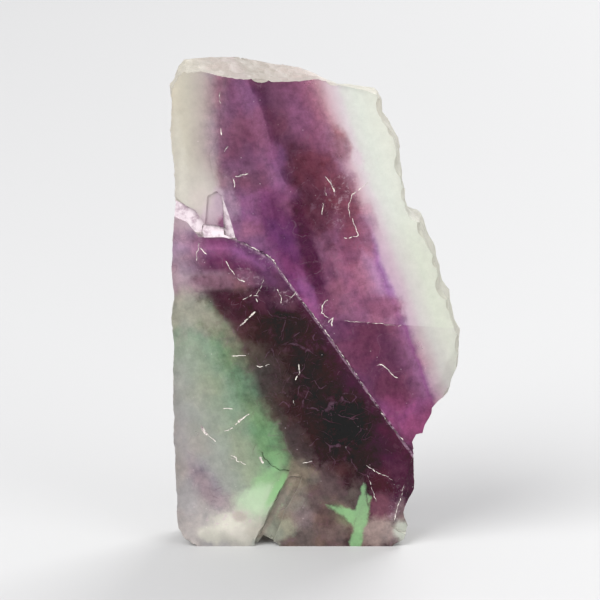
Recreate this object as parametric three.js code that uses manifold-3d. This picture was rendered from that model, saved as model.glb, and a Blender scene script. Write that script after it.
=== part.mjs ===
import * as THREE from "three";
import { mergeVertices } from "three/addons/utils/BufferGeometryUtils.js";
import Module from "manifold-3d";

// A slab sawn from one piece of banded fluorite. Both broad faces are ground flat and polished,
// the rim is left broken, and the slab stands on a flat foot. Millimetres: x runs across the
// slab, y through its thickness with the show face at -y, and z up from the foot.

// ---- driving dimensions ----
const thickness = 12; // between the two polished faces
const front = -thickness / 2; // the show face
const footBelow = 0.9; // how far the outline runs below z = 0 before the foot is ground flat
const rimStep = 1.35; // spacing of the points round the rim
const rimRough = 0.8; // depth of the rim's larger hollows
const rimRoughLength = 3.8; // and their length
const rimGrain = 0.42; // depth of its small hollows
const rimGrainLength = 1.5;
const rimOut = 0.35; // how far the rim's high spots stand outside the outline
const faceShare = 0.4; // share of that depth left where the rim meets a polished face
const ringDepths = [0, 0.06, 0.18, 0.32, 0.46, 0.6, 0.74, 0.87, 0.96, 1]; // shares of the thickness

// The widest outline of the slab, clockwise as the show face is seen. Each row is x, z, how far
// the edge of the show face and of the back face lie inside it, and the share of the thickness at
// which the rim is widest.
const outline = [
  // left foot and its rounded corner
  [-9.9, -footBelow, 0.2, 0.4, 0.5],
  [-17.6, -footBelow, 0.2, 0.5, 0.5],
  [-20.2, 0.3, 0.2, 0.6, 0.4],
  [-22.0, 1.4, 0.3, 0.8, 0.4],
  [-22.7, 2.9, 0.3, 0.9, 0.4],
  // long left edge
  [-23.1, 6.6, 0.3, 0.9, 0.4],
  [-23.1, 11.8, 0.2, 0.8, 0.4],
  [-23.5, 17.6, 0.3, 0.9, 0.4],
  [-23.4, 22.0, 0.3, 0.9, 0.4],
  [-23.8, 25.4, 0.3, 0.7, 0.4],
  [-23.4, 32.6, 0.3, 0.8, 0.4],
  [-23.7, 38.7, 0.2, 1.1, 0.4],
  [-23.4, 42.6, 0.3, 0.9, 0.4],
  [-23.6, 47.0, 0.3, 0.8, 0.4],
  [-23.3, 52.6, 0.2, 0.9, 0.5],
  [-23.0, 57.2, 0.4, 1.2, 0.5],
  [-23.2, 61.0, 0.4, 1.3, 0.6],
  [-23.5, 65.8, 0.4, 1.2, 0.6],
  [-23.8, 71.4, 0.4, 1.0, 0.6],
  [-23.6, 76.2, 0.6, 0.8, 0.6],
  [-22.6, 78.5, 0.8, 0.6, 0.7],
  // top, higher at the back on the left and at the front on the right
  [-21.4, 79.5, 0.8, 0.2, 0.9],
  [-18.5, 79.8, 1.0, 0.1, 0.95],
  [-15.0, 79.8, 1.6, 0.1, 0.95],
  [-11.4, 79.5, 1.7, 0.1, 0.95],
  [-6.4, 78.8, 1.3, 0.1, 0.95],
  [-2.6, 78.1, 0.6, 0.2, 0.8],
  [0.4, 77.8, 0.1, 0.9, 0.3],
  [3.8, 76.9, 0.2, 1.6, 0.15],
  [7.2, 76.3, 0.2, 1.5, 0.15],
  [9.9, 75.6, 0.4, 1.2, 0.2],
  // scalloped right edge
  [10.7, 74.6, 0.5, 1.0, 0.3],
  [11.3, 71.8, 0.9, 0.8, 0.45],
  [12.6, 69.6, 0.7, 0.8, 0.45],
  [13.6, 67.2, 0.6, 0.7, 0.45],
  [13.8, 63.8, 0.8, 0.8, 0.45],
  [14.3, 61.4, 0.6, 1.0, 0.4],
  [14.9, 57.8, 0.7, 1.0, 0.45],
  [15.6, 55.8, 0.6, 0.9, 0.45],
  [17.4, 54.8, 0.8, 0.8, 0.5],
  [18.3, 52.2, 0.9, 0.7, 0.5],
  [19.7, 49.4, 0.8, 0.6, 0.5],
  [20.4, 46.9, 0.7, 0.7, 0.5],
  [20.9, 43.8, 0.9, 0.8, 0.45],
  [21.9, 42.2, 0.7, 0.9, 0.45],
  [22.4, 39.6, 0.8, 0.9, 0.45],
  [23.8, 35.6, 0.8, 0.8, 0.45],
  [23.9, 32.8, 0.8, 0.7, 0.45],
  [23.6, 30.0, 0.7, 0.8, 0.45],
  [22.8, 28.4, 0.6, 0.9, 0.4],
  [21.8, 26.0, 0.5, 1.0, 0.35],
  [20.6, 24.6, 0.4, 1.1, 0.3],
  [19.4, 23.4, 0.3, 1.2, 0.25],
  [19.0, 21.8, 0.3, 1.4, 0.25],
  [18.2, 20.6, 0.2, 1.4, 0.2],
  // broken step under the overhanging point
  [17.7, 19.2, 0.2, 1.2, 0.25],
  [16.6, 18.9, 0.2, 0.8, 0.3],
  [16.1, 17.8, 0.3, 0.6, 0.5],
  // lower right edge and its small lump
  [16.3, 14.6, 0.3, 0.7, 0.5],
  [16.5, 9.4, 0.4, 0.7, 0.5],
  [15.3, 6.6, 0.4, 0.6, 0.5],
  [14.7, 5.4, 0.4, 0.4, 0.5],
  [15.4, 3.2, 0.4, 0.5, 0.4],
  [14.8, 1.2, 0.4, 0.7, 0.4],
  [13.4, 0.3, 0.3, 0.7, 0.4],
  [11.2, -footBelow, 0.2, 0.6, 0.5],
  // right foot, and the small gap between the two feet
  [-5.2, -footBelow, 0.2, 0.4, 0.5],
  [-6.8, 0.4, 0.3, 0.4, 0.5],
  [-8.6, 1.2, 0.4, 0.5, 0.5],
];

// The ridge that crosses the show face. Everything below it split off along a cleavage plane
// and lies slightly deeper.
const ridge = [
  [-26, 61.2],
  [-22.8, 57.2],
  [-19.6, 52.9],
  [-18.0, 51.9],
  [-15.2, 52.0],
  [-13.1, 51.6],
  [-9.6, 49.9],
  [-7.2, 48.4],
  [-2.8, 42.0],
  [1.6, 36.3],
  [7.0, 28.4],
  [12.1, 20.6],
  [14.7, 17.5],
  [16.8, 16.2],
];
const ridgeDrop = 0.6; // depth of the step at the ridge
const ridgeFade = 0.006; // how much of it is lost per millimetre down the slab

// Shallow scallops along the front of the rim: x, z, radius and how deep each bites in.
const scallops = [
  [11.0, 73.0, 4.2, 0.5],
  [12.4, 69.4, 2.6, 0.35],
  [13.8, 63.6, 3.6, 0.5],
  [14.6, 58.9, 2.4, 0.4],
  [18.0, 53.2, 3.0, 0.5],
  [19.8, 48.6, 2.2, 0.4],
  [20.8, 44.4, 3.4, 0.5],
  [22.2, 40.6, 2.4, 0.35],
  [23.9, 33.8, 4.4, 0.5],
  [21.4, 25.4, 2.2, 0.4],
  [-23.1, 8.6, 3.6, 0.35],
  [-23.4, 20.4, 4.4, 0.35],
  [-23.5, 29.6, 3.2, 0.4],
  [-23.5, 37.0, 2.4, 0.35],
  [-23.4, 44.8, 3.8, 0.4],
  [-21.4, 1.2, 2.8, 0.4],
  [3.2, 77.4, 2.2, 0.3],
  [-8.6, 79.4, 3.0, 0.4],
  [14.2, 1.0, 1.8, 0.4],
];
const scallopReach = 0.72; // how far a scallop's hollow is squashed along the rim's depth

// Chips along the ridge, drawn out along it, so that it shows as a broken line.
const ridgeChips = 17;
const ridgeChipRadius = [0.5, 0.9]; // smallest and largest, across the ridge
const ridgeChipLength = 2.6; // how much longer than wide
const ridgeChipBite = 0.22;
const ridgeStart = 4; // the chips begin at this point of the ridge

// Chips round the edge of the back face, which nobody dressed either.
const backChips = 22;
const backChipRadius = [1.6, 3.4];
const backChipBite = 0.45;

const speck = 0.02; // corners closer than this are one corner

// Cleavage faces on the show face: each is a flat cut through three points x, y, z, which keeps
// what lies behind it and stops at the border given as x, z points.
const cleavages = [
  // pale bevel down the upper left, with its stepped right border
  {
    plane: [[-15.1, -6.0, 78.0], [-15.7, -6.0, 58.0], [-23.6, -4.7, 66.0]],
    border: [
      [-26, 84], [-15.2, 84], [-15.1, 78.4], [-14.9, 73.6], [-15.3, 69.4], [-17.2, 65.5],
      [-16.3, 60.6], [-15.3, 58.7], [-17.4, 58.7], [-17.9, 53.2], [-26, 56.6],
    ],
  },
  // small split faces where the bevel meets the ridge
  {
    plane: [[-21.0, -4.7, 57.0], [-18.2, -5.05, 54.0], [-20.8, -5.3, 54.2]],
    border: [
      [-26, 60.4], [-22.6, 58.4], [-21.0, 57.1], [-19.5, 56.4], [-17.9, 53.9], [-18.1, 53.0],
      [-19.6, 52.8], [-22.8, 57.1], [-26, 59.4],
    ],
  },
  {
    plane: [[-17.5, -5.3, 58.7], [-15.2, -5.75, 58.6], [-16.4, -5.4, 53.9]],
    border: [[-17.5, 58.8], [-16.0, 59.6], [-15.1, 58.7], [-14.8, 53.6], [-18.0, 53.6]],
  },
  {
    plane: [[-15.2, -5.7, 58.6], [-14.9, -5.15, 54.0], [-13.0, -6.0, 51.9]],
    border: [[-15.2, 59.0], [-14.0, 55.6], [-12.9, 51.7], [-14.8, 52.4]],
  },
  {
    plane: [[-18.1, -5.8, 51.9], [-13.0, -5.95, 51.7], [-15.8, -4.9, 53.8]],
    border: [[-18.2, 51.8], [-12.9, 51.5], [-14.6, 53.4], [-16.2, 54.0], [-18.2, 54.0]],
  },
  // dark split up from the gap in the foot
  {
    plane: [[-4.6, -4.9, 11.6], [-8.6, -4.2, 1.0], [-2.8, -5.5, 6.4]],
    border: [
      [-4.6, 11.8], [-6.6, 8.0], [-8.2, 4.1], [-10.0, 0.9], [-10.2, -2], [-7.9, -2], [-5.1, 6.3],
      [-3.1, 9.7], [-2.2, 11.8],
    ],
  },
  // split face low on the right
  {
    plane: [[15.7, -5.3, 15.4], [14.3, -5.3, 9.4], [17.0, -3.9, 8.4]],
    border: [
      [16.3, 16.4], [15.2, 12.0], [14.6, 9.9], [14.4, 8.2], [14.0, 6.3], [12.6, 3.4], [19, 0],
      [19, 16.4],
    ],
  },
];

// ---- small tools ----
const wasm = await Module();
wasm.setup();

function solidOf(geometry) {
  const bare = geometry.clone();
  bare.deleteAttribute("normal");
  bare.deleteAttribute("uv");
  const merged = mergeVertices(bare, 1e-4);
  return new wasm.Manifold(
    new wasm.Mesh({
      numProp: 3,
      vertProperties: new Float32Array(merged.attributes.position.array),
      triVerts: new Uint32Array(merged.index.array),
    }),
  );
}

function geometryOf(solid) {
  const mesh = solid.getMesh();
  const geometry = new THREE.BufferGeometry();
  geometry.setAttribute("position", new THREE.BufferAttribute(mesh.vertProperties, 3));
  geometry.setIndex(new THREE.BufferAttribute(mesh.triVerts, 1));
  return geometry;
}

// Draws together the corners that cuts leave closer than `speck`, and drops the faces that close.
function withoutSpecks(geometry) {
  const at = geometry.attributes.position;
  const index = [...geometry.index.array];
  const stands = Array.from({ length: at.count }, (_, i) => i);
  const find = (i) => (stands[i] === i ? i : find(stands[i]));
  const corner = (i) => new THREE.Vector3().fromBufferAttribute(at, i);
  for (let k = 0; k < index.length; k++) {
    const a = find(index[k]);
    const b = find(index[k % 3 === 2 ? k - 2 : k + 1]);
    if (a !== b && corner(a).distanceTo(corner(b)) < speck) stands[Math.max(a, b)] = Math.min(a, b);
  }
  const kept = [];
  for (let k = 0; k < index.length; k += 3) {
    const [a, b, c] = index.slice(k, k + 3).map(find);
    if (a !== b && b !== c && c !== a) kept.push(a, b, c);
  }
  geometry.setIndex(kept);
  return geometryOf(solidOf(geometry));
}

// A repeatable number from 0 to 1 for a whole-number place.
function scatter(i, j) {
  const wave = Math.sin(i * 127.1 + j * 311.7 + 17.3) * 43758.5453;
  return wave - Math.floor(wave);
}

// Smooth noise from 0 to 1. It repeats after `around` steps of u, so that it closes on itself
// round the rim.
function noise(u, v, around) {
  const i = Math.floor(u);
  const j = Math.floor(v);
  const ease = (f) => f * f * (3 - 2 * f);
  const fu = ease(u - i);
  const fv = ease(v - j);
  const at = (a, b) => scatter(((a % around) + around) % around, b);
  const low = at(i, j) * (1 - fu) + at(i + 1, j) * fu;
  const high = at(i, j + 1) * (1 - fu) + at(i + 1, j + 1) * fu;
  return low * (1 - fv) + high * fv;
}

// ---- the sawn blank with its broken rim ----
// Points every rimStep along the outline, each with its distance along it and its inward direction.
function rimPoints() {
  const points = [];
  outline.forEach((row, i) => {
    const next = outline[(i + 1) % outline.length];
    const length = Math.hypot(next[0] - row[0], next[1] - row[1]);
    const parts = Math.max(1, Math.round(length / rimStep));
    for (let k = 0; k < parts; k++) {
      const step = (value, c) => value + ((next[c] - value) * k) / parts;
      const [x, z, frontIn, backIn, widest] = row.map(step);
      points.push({ x, z, frontIn, backIn, widest });
    }
  });
  let along = 0;
  points.forEach((point, i) => {
    const before = points[(i + points.length - 1) % points.length];
    const after = points[(i + 1) % points.length];
    const dx = after.x - before.x;
    const dz = after.z - before.z;
    const size = Math.hypot(dx, dz);
    point.inX = dz / size; // the outline runs clockwise, so inward is a quarter turn to the right
    point.inZ = -dx / size;
    point.along = along;
    along += Math.hypot(after.x - point.x, after.z - point.z);
  });
  points.length_mm = along;
  return points;
}

function ring(points, share) {
  const y = front + thickness * share;
  const coarseAround = Math.round(points.length_mm / rimRoughLength);
  const fineAround = Math.round(points.length_mm / rimGrainLength);
  const middle = faceShare + (1 - faceShare) * Math.sin(Math.PI * share);
  return points.map((p) => {
    const turn = p.along / points.length_mm;
    const setIn =
      share < p.widest
        ? p.frontIn * (1 - share / p.widest) ** 1.5
        : p.backIn * ((share - p.widest) / (1 - p.widest)) ** 1.5;
    const coarse = rimRough * noise(turn * coarseAround, y / rimRoughLength, coarseAround);
    const fine = rimGrain * noise(turn * fineAround, y / rimGrainLength + 40, fineAround);
    const inward = setIn + (coarse + fine) * middle - rimOut;
    return new THREE.Vector3(p.x + p.inX * inward, y, p.z + p.inZ * inward);
  });
}

// Joins rings of equal length into a closed skin with flat caps. The first ring is the front one.
function skin(rings) {
  const count = rings[0].length;
  const vertices = rings.flat().flatMap((v) => [v.x, v.y, v.z]);
  const index = [];
  for (let r = 0; r + 1 < rings.length; r++) {
    for (let i = 0; i < count; i++) {
      const j = (i + 1) % count;
      const a = r * count + i;
      const b = r * count + j;
      const c = (r + 1) * count + i;
      const d = (r + 1) * count + j;
      index.push(a, b, c, b, d, c);
    }
  }
  const flat = (list) => list.map((v) => new THREE.Vector2(v.x, v.z));
  const last = (rings.length - 1) * count;
  for (const [a, b, c] of THREE.ShapeUtils.triangulateShape(flat(rings[0]), [])) index.push(a, b, c);
  for (const [a, b, c] of THREE.ShapeUtils.triangulateShape(flat(rings.at(-1)), [])) {
    index.push(last + a, last + c, last + b);
  }
  const geometry = new THREE.BufferGeometry();
  geometry.setAttribute("position", new THREE.Float32BufferAttribute(vertices, 3));
  geometry.setIndex(index);
  return solidOf(geometry);
}

// A straight-sided cutter over a border of x, z points, from in front of the slab to the depth
// that `depthAt` gives at each point.
function cutter(border, depthAt) {
  const turned = THREE.ShapeUtils.isClockWise(border.map(([x, z]) => new THREE.Vector2(x, z)));
  const ordered = turned ? border : [...border].reverse();
  const at = (y) => ordered.map(([x, z]) => new THREE.Vector3(x, y(x, z), z));
  return skin([at(() => front - 2), at(depthAt)]);
}

// The depth y of the plane through three points.
function planeDepth(three) {
  const [a, b, c] = three.map((p) => new THREE.Vector3(...p));
  const plane = new THREE.Plane().setFromCoplanarPoints(a, b, c);
  return (x, z) => -(plane.constant + plane.normal.x * x + plane.normal.z * z) / plane.normal.y;
}

// A shell-shaped hollow: a faceted ball, turned by its own number, then squashed through the slab
// and drawn out along the slope dx, dz.
function hollow(centre, radius, squash, number, stretch = 1, dx = 1, dz = 0) {
  const ball = new THREE.IcosahedronGeometry(radius, radius > 1.6 ? 2 : 1);
  ball.rotateX(scatter(number, 1) * 6).rotateY(scatter(number, 2) * 6).rotateZ(scatter(number, 3) * 6);
  ball.scale(stretch, squash, 1);
  ball.rotateY(-Math.atan2(dz, dx));
  ball.translate(centre.x, centre.y, centre.z);
  return solidOf(ball);
}

// A point on the rim at a distance along it, on the front or the back edge.
function edgePoint(ringPoints, rim, along) {
  let nearest = 0;
  rim.forEach((p, i) => {
    if (Math.abs(p.along - along) < Math.abs(rim[nearest].along - along)) nearest = i;
  });
  return { at: ringPoints[nearest], inX: rim[nearest].inX, inZ: rim[nearest].inZ };
}

function nearestOnRim(rim, x, z) {
  const far = (p) => Math.hypot(p.x - x, p.z - z);
  return rim.reduce((best, p) => (far(p) < far(best) ? p : best)).along;
}

// A hollow that bites a given depth into the edge between the rim and one of the broad faces.
function edgeBite(edge, side, radius, bite, number) {
  const off = (radius - bite) * Math.SQRT1_2;
  const centre = new THREE.Vector3(
    edge.at.x - edge.inX * off,
    edge.at.y + side * off * scallopReach,
    edge.at.z - edge.inZ * off,
  );
  return hollow(centre, radius, scallopReach, number);
}

const between = ([low, high], share) => low + (high - low) * share;

// A place on the ridge at a share of the run that carries chips, and the ridge's slope there.
function ridgeAt(share) {
  const run = ridge.slice(ridgeStart, -1).map(([x, z]) => new THREE.Vector2(x, z));
  const lengths = run.slice(1).map((p, i) => p.distanceTo(run[i]));
  let left = share * lengths.reduce((sum, length) => sum + length, 0);
  let i = 0;
  while (i < lengths.length - 1 && left > lengths[i]) left -= lengths[i++];
  return { at: run[i].clone().lerp(run[i + 1], left / lengths[i]), slope: run[i + 1].clone().sub(run[i]) };
}

function makeSlab() {
  const rim = rimPoints();
  const rings = ringDepths.map((share) => ring(rim, share));
  let slab = skin(rings);

  // the split face below the ridge
  const below = [...ridge, [26, 12], [26, -4], [-26, -4]];
  slab = slab.subtract(cutter(below, (x, z) => front + ridgeDrop - ridgeFade * Math.max(0, 52 - z)));

  for (const { plane, border } of cleavages) slab = slab.subtract(cutter(border, planeDepth(plane)));

  for (let i = 0; i < ridgeChips; i++) {
    const { at, slope } = ridgeAt((i + 0.15 + 0.7 * scatter(i, 5)) / ridgeChips);
    const radius = between(ridgeChipRadius, scatter(i, 6));
    const centre = new THREE.Vector3(at.x, front - (radius - ridgeChipBite), at.y);
    slab = slab.subtract(hollow(centre, radius, 1, 100 + i, ridgeChipLength, slope.x, slope.y));
  }
  scallops.forEach(([x, z, radius, bite], i) => {
    const edge = edgePoint(rings[0], rim, nearestOnRim(rim, x, z));
    slab = slab.subtract(edgeBite(edge, -1, radius, bite, i));
  });
  for (let i = 0; i < backChips; i++) {
    const along = ((i + 0.8 * scatter(i, 7)) / backChips) * rim.length_mm;
    const radius = between(backChipRadius, scatter(i, 8));
    slab = slab.subtract(edgeBite(edgePoint(rings.at(-1), rim, along), 1, radius, backChipBite, 200 + i));
  }

  // the foot, ground flat
  const ground = new THREE.BoxGeometry(80, 40, 10);
  ground.translate(0, 0, -5);
  return slab.subtract(solidOf(ground));
}

const crystal = new THREE.MeshStandardMaterial({ color: 0x7a4f78, roughness: 0.15, metalness: 0 });
const slab = new THREE.Mesh(withoutSpecks(geometryOf(makeSlab())), crystal);
slab.name = "fluorite_slab";

// the origin is on the ground under the middle of the slab's width
slab.geometry.computeBoundingBox();
slab.position.x = -slab.geometry.boundingBox.getCenter(new THREE.Vector3()).x;

const part = new THREE.Group();
part.add(slab);
export default part;
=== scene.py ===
import bpy
import bmesh
import math
import random
from mathutils import Matrix, Vector, noise
from mathutils.bvhtree import BVHTree
from mathutils.geometry import delaunay_2d_cdt, intersect_point_line


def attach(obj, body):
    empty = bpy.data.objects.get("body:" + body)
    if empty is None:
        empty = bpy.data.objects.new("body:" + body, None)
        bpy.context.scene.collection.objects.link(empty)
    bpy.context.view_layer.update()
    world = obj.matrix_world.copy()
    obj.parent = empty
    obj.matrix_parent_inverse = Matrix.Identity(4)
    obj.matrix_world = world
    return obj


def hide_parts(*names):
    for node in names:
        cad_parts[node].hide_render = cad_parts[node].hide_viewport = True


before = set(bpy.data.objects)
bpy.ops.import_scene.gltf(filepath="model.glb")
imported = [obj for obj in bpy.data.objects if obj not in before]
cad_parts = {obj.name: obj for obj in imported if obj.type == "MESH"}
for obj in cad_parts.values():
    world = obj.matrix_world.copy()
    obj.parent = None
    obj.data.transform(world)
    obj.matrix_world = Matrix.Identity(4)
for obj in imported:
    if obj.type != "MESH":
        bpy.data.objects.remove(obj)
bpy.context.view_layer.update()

mm = 0.001  # the scene is in metres, the values below are in millimetres
mergeGap = 0.002  # closer points of a frame node are one point
flatBend = 0.3  # degrees; faces that bend less than this are one flat face
joinGap = 1e-9  # metres; corners of a refilled face closer than this are one


def mergedCopy(nodeName):
    # a frame node comes as loose triangles, so its copy is merged, and each flat face becomes one
    bm = bmesh.new()
    bm.from_mesh(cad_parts[nodeName].data)
    bmesh.ops.remove_doubles(bm, verts=bm.verts, dist=mergeGap * mm)
    bmesh.ops.dissolve_limit(
        bm, angle_limit=math.radians(flatBend), use_dissolve_boundaries=False,
        verts=bm.verts, edges=bm.edges, delimit={"NORMAL"},
    )
    return bm


def objectFrom(bm, name, materials):
    mesh = bpy.data.meshes.new(name)
    bm.to_mesh(mesh)
    bm.free()
    for material in materials:
        mesh.materials.append(material)
    made = bpy.data.objects.new(name, mesh)
    bpy.context.scene.collection.objects.link(made)
    return made


def applyModifiers(piece):
    seen = piece.evaluated_get(bpy.context.evaluated_depsgraph_get())
    finished = bpy.data.meshes.new_from_object(seen)
    piece.modifiers.clear()
    piece.data = finished


current = {}  # "tree" is the node tree that new nodes go into


def addNode(kind, **values):
    made = current["tree"].nodes.new(kind)
    for name, value in values.items():
        setattr(made, name, value)
    return made


def feed(socket, value):
    # a socket takes another node's output or a plain value
    if isinstance(value, bpy.types.NodeSocket):
        current["tree"].links.new(value, socket)
    else:
        socket.default_value = value


def compute(operation, first, second=0.0, third=0.0):
    made = addNode("ShaderNodeMath", operation=operation)
    for socket, value in zip(made.inputs, (first, second, third)):
        feed(socket, value)
    return made.outputs[0]


def product(*values):
    result = values[0]
    for value in values[1:]:
        result = compute("MULTIPLY", result, value)
    return result


def lowest(*values):
    least = values[0]
    for value in values[1:]:
        least = compute("MINIMUM", least, value)
    return least


def vectorMath(operation, first, second=(0, 0, 0), third=(0, 0, 0), scale=1.0):
    made = addNode("ShaderNodeVectorMath", operation=operation)
    feed(made.inputs[0], first)
    if operation == "SCALE":
        feed(made.inputs["Scale"], scale)
    else:
        feed(made.inputs[1], second)
        feed(made.inputs[2], third)
    return made.outputs["Value" if operation in ("DOT_PRODUCT", "LENGTH") else "Vector"]


def partsOf(vector):
    made = addNode("ShaderNodeSeparateXYZ")
    feed(made.inputs[0], vector)
    return made.outputs


def joined(x, y, z):
    made = addNode("ShaderNodeCombineXYZ")
    for socket, value in zip(made.inputs, (x, y, z)):
        feed(socket, value)
    return made.outputs[0]


def noiseOf(point, size, detail=2.0, roughness=0.5, output="Fac"):
    # size is the length of one bump in millimetres
    made = addNode("ShaderNodeTexNoise")
    feed(made.inputs["Vector"], point)
    feed(made.inputs["Scale"], 1.0 / size)
    feed(made.inputs["Detail"], detail)
    feed(made.inputs["Roughness"], roughness)
    return made.outputs[output]


def softStep(value, low, high, most=1.0):
    # 0 below low, most above high; low may be the larger of the two, which turns it round
    made = addNode("ShaderNodeMapRange", interpolation_type="SMOOTHSTEP")
    feed(made.inputs["Value"], value)
    turned = low > high
    feed(made.inputs["From Min"], high if turned else low)
    feed(made.inputs["From Max"], low if turned else high)
    feed(made.inputs["To Min"], most if turned else 0.0)
    feed(made.inputs["To Max"], 0.0 if turned else most)
    return made.outputs["Result"]


def stretch(value, low, high):
    # 0 to 1 becomes low to high
    return compute("MULTIPLY_ADD", value, high - low, low)


def blendColour(below, above, share):
    made = addNode("ShaderNodeMix", data_type="RGBA")
    feed(made.inputs["Factor"], share)
    feed(made.inputs[6], below)  # the colour pair of the Mix node
    feed(made.inputs[7], above)
    return made.outputs[2]


def screen(*colour):
    # a colour as it looks on a screen, in hundredths, as the linear values that shaders take
    shares = [part / 100 for part in colour]
    return tuple(share / 12.92 if share <= 0.04045 else ((share + 0.055) / 1.055) ** 2.4
                 for share in shares) + (1.0,)


def bandRamp(value, stops):
    # stops are (place in millimetres, red, green, blue), in order
    low, high = stops[0][0], stops[-1][0]
    spread = addNode("ShaderNodeMapRange")
    feed(spread.inputs["Value"], value)
    feed(spread.inputs["From Min"], low)
    feed(spread.inputs["From Max"], high)
    ramp = addNode("ShaderNodeValToRGB")
    feed(ramp.inputs["Fac"], spread.outputs["Result"])
    marks = ramp.color_ramp.elements
    while len(marks) < len(stops):
        marks.new(1.0)
    for mark, (place, *colour) in zip(marks, stops):
        mark.position = (place - low) / (high - low)
        mark.color = screen(*colour)
    return ramp.outputs["Color"]


# Growth bands lie in flat sheets that lean through the stone. Places are (x, z) on the show face.
bandLook = {
    "frontY": -6.0,  # the show face
    "leanAcross": 0.15,  # how far the sheets move left for each millimetre behind the show face
    "leanUp": 0.06,
    "wander": 0.6,  # how far they wander from flat
    "wanderSize": 8.0,
    "ruffle": 0.3,  # a finer wander
    "ruffleSize": 1.7,
    "raggedSize": 2.4,  # the torn look of some borders
    "greenRagged": 5.0,
    "longRagged": 1.0,
    # the split across the show face, and the slanting split above its left end
    "ridge": [(-18.0, 51.95), (-13.1, 51.7), (-7.2, 48.4), (1.6, 36.3), (14.7, 17.5)],
    "slant": [(-22.8, 57.2), (-19.6, 52.9)],
    "splitReach": 0.1,
    "longSlope": 0.34,  # sideways shift of the long bands for each millimetre up
    "longHeight": 60.0,  # and where their places below are true ones
    "middleToHigh": (48.0, 59.0),  # heights
    "levelCrack": (38.65, 38.4),  # heights
    "crackSlope": 0.07,
    "bevelLine": [(-14.9, 79.0), (-17.0, 60.0)],
    "bevelReach": (-2.0, 0.0),
    "paleToLow": (67.0, 59.0),  # heights
    "greenSlope": 0.451,
    "greenStart": (-10.2, 28.0),
    "greenTop": 41.4,
    # long bands above the split: high on the slab, low on the slab, and under the level crack
    "high": [
        (-13.0, 49, 33, 42), (-9.5, 49, 33, 42), (-8.0, 49, 31, 41),
        (-6.4, 54, 36, 47), (-4.9, 56, 37, 50), (-4.5, 42, 25, 37),
        (-3.6, 36, 21, 30), (-1.8, 43, 27, 35), (1.0, 49, 30, 39),
        (2.6, 54, 33, 42), (4.0, 58, 37, 46), (5.2, 63, 44, 52),
        (6.0, 70, 54, 59), (6.8, 79, 66, 70), (7.6, 84, 75, 78),
        (8.6, 86, 81, 83), (9.6, 86, 86, 84), (11.2, 87, 89, 85),
        (14.5, 89, 90, 85), (20.0, 87, 85, 79),
    ],
    "middle": [
        (-12.5, 55, 37, 50), (-9.0, 47, 25, 42), (-6.8, 43, 22, 38),
        (-5.2, 46, 26, 39), (-4.2, 50, 30, 42), (-3.2, 53, 34, 44),
        (-1.6, 56, 37, 46), (0.6, 59, 38, 49), (2.4, 62, 42, 52),
        (4.0, 68, 49, 60), (5.0, 72, 54, 66), (5.7, 68, 48, 63),
        (6.2, 62, 41, 60), (6.6, 68, 50, 66), (7.2, 79, 67, 75),
        (8.6, 81, 73, 77), (9.8, 83, 81, 80), (12.5, 85, 87, 81),
        (20.0, 87, 87, 81),
    ],
    "low": [
        (-9.0, 50, 31, 44), (-6.0, 44, 28, 38), (-3.5, 43, 25, 36),
        (-0.5, 41, 23, 33), (2.8, 39, 22, 31), (5.3, 51, 32, 42),
        (6.3, 58, 37, 50), (6.9, 55, 32, 49), (7.6, 68, 54, 61),
        (8.6, 75, 66, 69), (10.6, 80, 79, 77), (13.0, 84, 85, 80),
        (20.0, 85, 85, 81),
    ],
    # across the pale upper left, high and low
    "pale": [
        (-24.0, 85, 82, 74), (-20.5, 79, 77, 71), (-18.2, 73, 69, 66),
        (-16.6, 66, 58, 60), (-15.4, 56, 42, 48),
    ],
    "paleLow": (81, 79, 75),
    # down the left edge from the split
    "stack": [
        (-5.0, 74, 68, 70), (-1.6, 66, 57, 60), (-0.3, 54, 38, 50),
        (0.6, 47, 26, 42), (1.7, 58, 36, 53), (2.6, 50, 30, 44),
        (3.6, 42, 22, 35), (5.0, 41, 23, 33), (5.8, 55, 42, 47),
        (6.6, 64, 53, 55), (7.8, 63, 50, 52), (8.4, 66, 53, 55),
        (9.1, 45, 30, 36), (10.0, 40, 27, 31),
    ],
    "stackTaper": 1.5,  # how much sooner the lower ones end
    "stackEnd": (0.5, -8.0),
    "stackDepth": (11.0, 9.6),
    "stackEdge": (76, 68, 72),
    "stackEdgePlaces": (-16.5, -22.5),
    "stackEdgeShare": 0.55,
    # across the green family, from its border with the dark band
    "lower": [
        (-16.0, 67, 65, 64), (-10.5, 64, 66, 61), (-7.0, 60, 65, 56),
        (-4.5, 54, 62, 52), (-2.4, 46, 57, 44), (-0.8, 41, 51, 40),
        (0.2, 37, 41, 34), (1.3, 31, 29, 26), (3.0, 26, 19, 19),
        (5.2, 21, 12, 14), (9.0, 17, 10, 12), (13.0, 20, 10, 14),
        (16.0, 27, 13, 21), (20.0, 31, 14, 21),
    ],
}

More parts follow.
